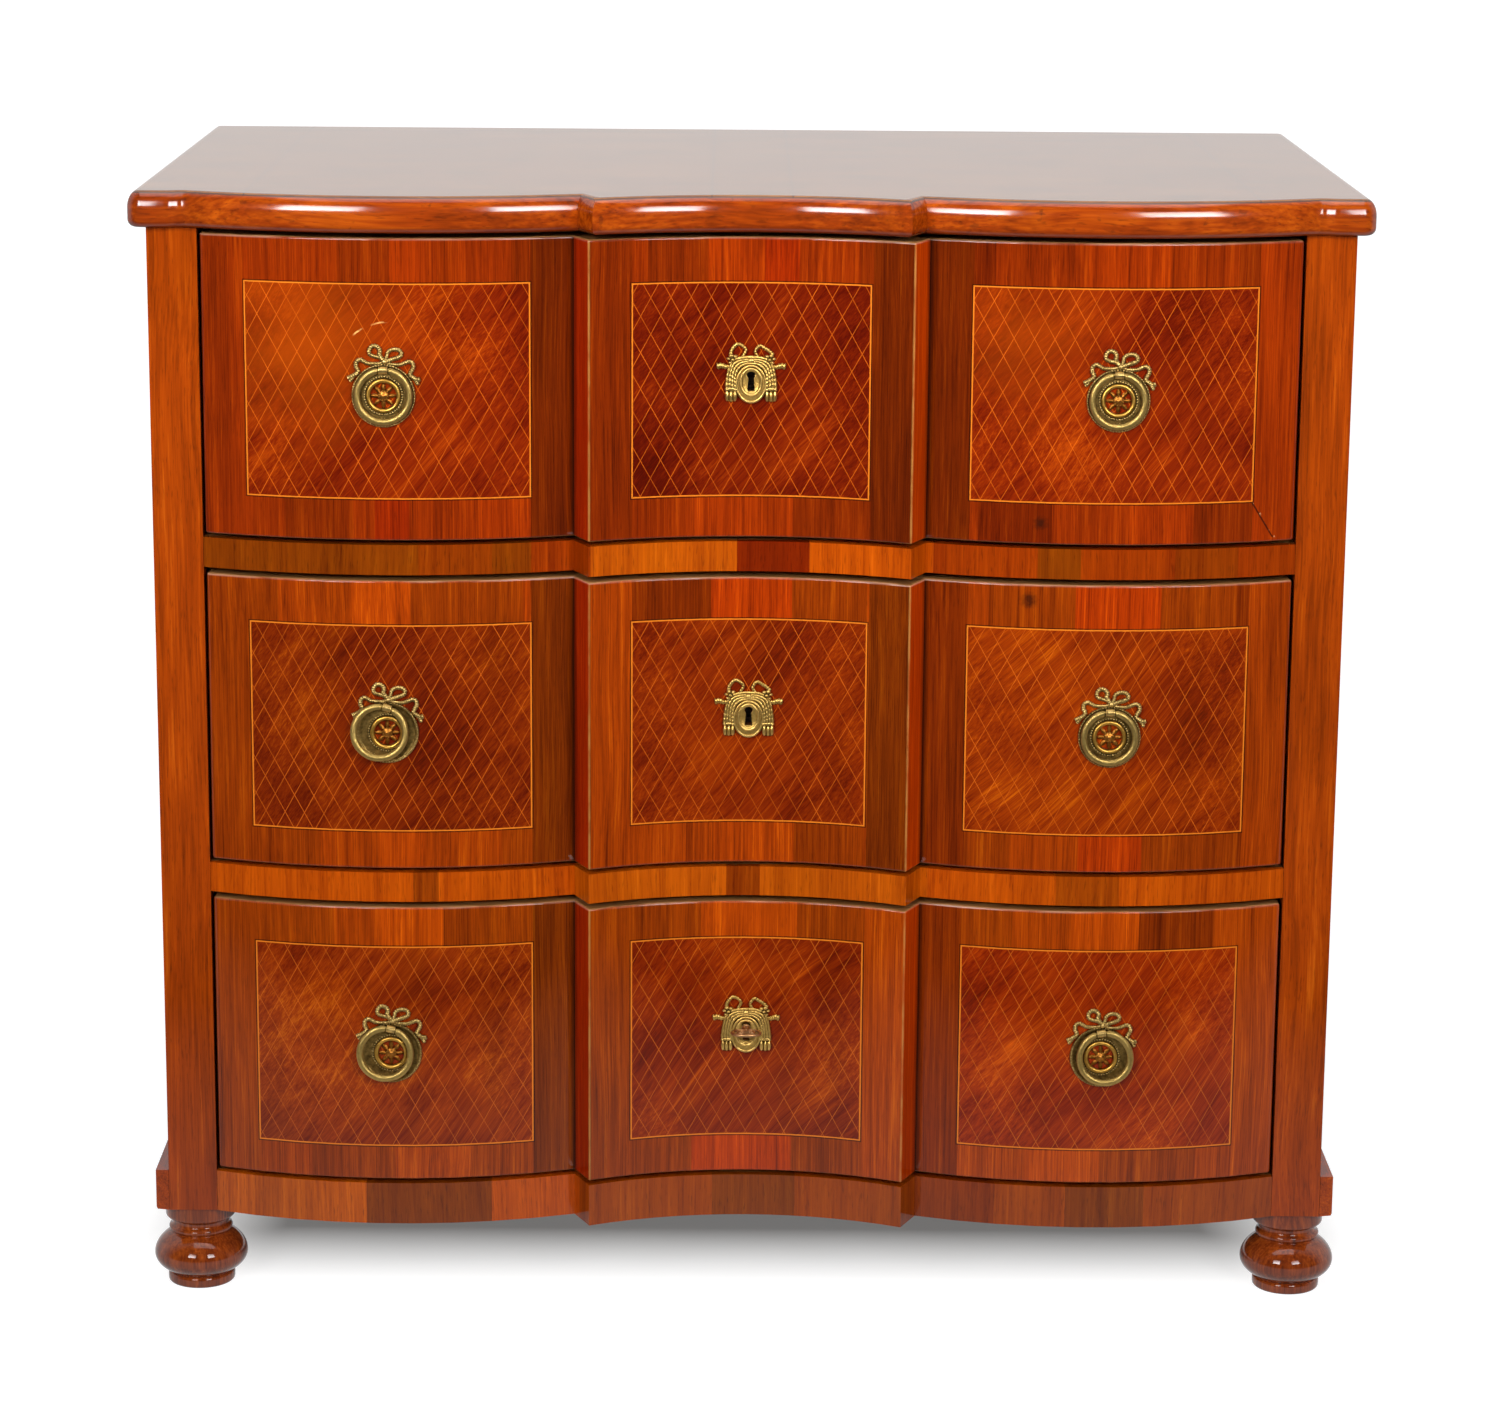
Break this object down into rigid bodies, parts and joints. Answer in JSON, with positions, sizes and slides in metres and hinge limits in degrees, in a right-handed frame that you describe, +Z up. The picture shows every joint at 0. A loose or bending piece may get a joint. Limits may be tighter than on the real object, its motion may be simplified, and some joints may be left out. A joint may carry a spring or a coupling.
{
  "type": "block-front chest of drawers",
  "caption": "Block-front chest of drawers in veneered wood: shaped top, rails and dovetailed drawers, turned feet, brass ring pulls, keyhole plates, locks and a key.",
  "frame": {"origin": "middle of the bounding box on the floor under the feet", "axes": "+X to the viewer's right along the front, -Y out of the front where the drawers open, +Z up"},
  "size_m": [0.993, 0.599, 0.9223],
  "materials": {
    "veneered_wood": "polished veneer with lattice stringing",
    "turned_wood": "polished, turned",
    "carcase_wood": "plain planed boards",
    "gilt_brass": "old gilt, slightly worn",
    "lock_steel": "dull"
  },
  "bodies": {
    "case": {"back_panel": "carcase_wood", "base_rail": "veneered_wood", "bottom_board": "carcase_wood", "front_left_foot": "turned_wood", "front_right_foot": "turned_wood", "left_base_moulding": "veneered_wood", "left_bottom_runner": "carcase_wood", "left_middle_runner": "carcase_wood", "left_post": "veneered_wood", "left_side": "veneered_wood", "left_top_runner": "carcase_wood", "lower_rail": "veneered_wood", "rear_left_foot": "turned_wood", "rear_right_foot": "turned_wood", "right_base_moulding": "veneered_wood", "right_bottom_runner": "carcase_wood", "right_middle_runner": "carcase_wood", "right_post": "veneered_wood", "right_side": "veneered_wood", "right_top_runner": "carcase_wood", "top": "veneered_wood", "upper_rail": "veneered_wood"},
    "top_drawer": {"top_drawer_front": "veneered_wood", "top_drawer_back": "carcase_wood", "top_drawer_bottom": "carcase_wood", "top_drawer_left_side": "carcase_wood", "top_drawer_right_side": "carcase_wood", "top_lock_case": "lock_steel", "top_escutcheon": "gilt_brass", "top_left_pull_plate": "gilt_brass", "top_right_pull_plate": "gilt_brass"},
    "top_left_ring": {"top_left_pull_ring": "gilt_brass"},
    "top_right_ring": {"top_right_pull_ring": "gilt_brass"},
    "top_bolt": {"top_lock_bolt": "lock_steel"},
    "middle_drawer": {"middle_drawer_front": "veneered_wood", "middle_drawer_back": "carcase_wood", "middle_drawer_bottom": "carcase_wood", "middle_drawer_left_side": "carcase_wood", "middle_drawer_right_side": "carcase_wood", "middle_lock_case": "lock_steel", "middle_escutcheon": "gilt_brass", "middle_left_pull_plate": "gilt_brass", "middle_right_pull_plate": "gilt_brass"},
    "middle_left_ring": {"middle_left_pull_ring": "gilt_brass"},
    "middle_right_ring": {"middle_right_pull_ring": "gilt_brass"},
    "middle_bolt": {"middle_lock_bolt": "lock_steel"},
    "bottom_drawer": {"bottom_drawer_front": "veneered_wood", "bottom_drawer_back": "carcase_wood", "bottom_drawer_bottom": "carcase_wood", "bottom_drawer_left_side": "carcase_wood", "bottom_drawer_right_side": "carcase_wood", "bottom_lock_case": "lock_steel", "bottom_escutcheon": "gilt_brass", "bottom_left_pull_plate": "gilt_brass", "bottom_right_pull_plate": "gilt_brass"},
    "bottom_left_ring": {"bottom_left_pull_ring": "gilt_brass"},
    "bottom_right_ring": {"bottom_right_pull_ring": "gilt_brass"},
    "bottom_bolt": {"bottom_lock_bolt": "lock_steel"},
    "key": {"key": "gilt_brass"}
  },
  "joints": [
    {"name": "top_drawer_slide", "type": "slide", "parent": "case", "child": "top_drawer", "axis": [0, -1, 0], "range_m": [0, 0.33]},
    {"name": "top_left_ring_hinge", "type": "hinge", "parent": "top_drawer", "child": "top_left_ring", "pos_m": [-0.29125, -0.2875, 0.7847], "axis": [-1, 0, 0], "range_deg": [0, 140]},
    {"name": "top_right_ring_hinge", "type": "hinge", "parent": "top_drawer", "child": "top_right_ring", "pos_m": [0.29125, -0.2875, 0.7847], "axis": [-1, 0, 0], "range_deg": [0, 140]},
    {"name": "top_bolt_slide", "type": "slide", "parent": "top_drawer", "child": "top_bolt", "axis": [0, 0, 1], "range_m": [-0.006, 0.012]},
    {"name": "middle_drawer_slide", "type": "slide", "parent": "case", "child": "middle_drawer", "axis": [0, -1, 0], "range_m": [0, 0.33]},
    {"name": "middle_left_ring_hinge", "type": "hinge", "parent": "middle_drawer", "child": "middle_left_ring", "pos_m": [-0.29125, -0.2875, 0.5107], "axis": [-0.9563, 0, 0.2924], "range_deg": [0, 140]},
    {"name": "middle_right_ring_hinge", "type": "hinge", "parent": "middle_drawer", "child": "middle_right_ring", "pos_m": [0.29125, -0.2875, 0.5107], "axis": [-1, 0, 0], "range_deg": [0, 140]},
    {"name": "middle_bolt_slide", "type": "slide", "parent": "middle_drawer", "child": "middle_bolt", "axis": [0, 0, 1], "range_m": [-0.006, 0.012]},
    {"name": "bottom_drawer_slide", "type": "slide", "parent": "case", "child": "bottom_drawer", "axis": [0, -1, 0], "range_m": [0, 0.33]},
    {"name": "bottom_left_ring_hinge", "type": "hinge", "parent": "bottom_drawer", "child": "bottom_left_ring", "pos_m": [-0.29125, -0.2875, 0.2406], "axis": [-0.9744, 0, 0.225], "range_deg": [0, 140]},
    {"name": "bottom_right_ring_hinge", "type": "hinge", "parent": "bottom_drawer", "child": "bottom_right_ring", "pos_m": [0.29125, -0.2875, 0.2406], "axis": [-0.9877, 0, -0.1564], "range_deg": [0, 140]},
    {"name": "bottom_bolt_slide", "type": "slide", "parent": "bottom_drawer", "child": "bottom_bolt", "axis": [0, 0, 1], "range_m": [-0.006, 0.012]},
    {"name": "key_turn", "type": "hinge", "parent": "bottom_drawer", "child": "key", "pos_m": [0, -0.2561, 0.2367], "axis": [0, -1, 0], "range_deg": [-90, 180]}
  ],
  "couplings": [
    {"joint": "key_turn", "follows": "bottom_bolt_slide", "rad_per_m": 261.79}
  ]
}
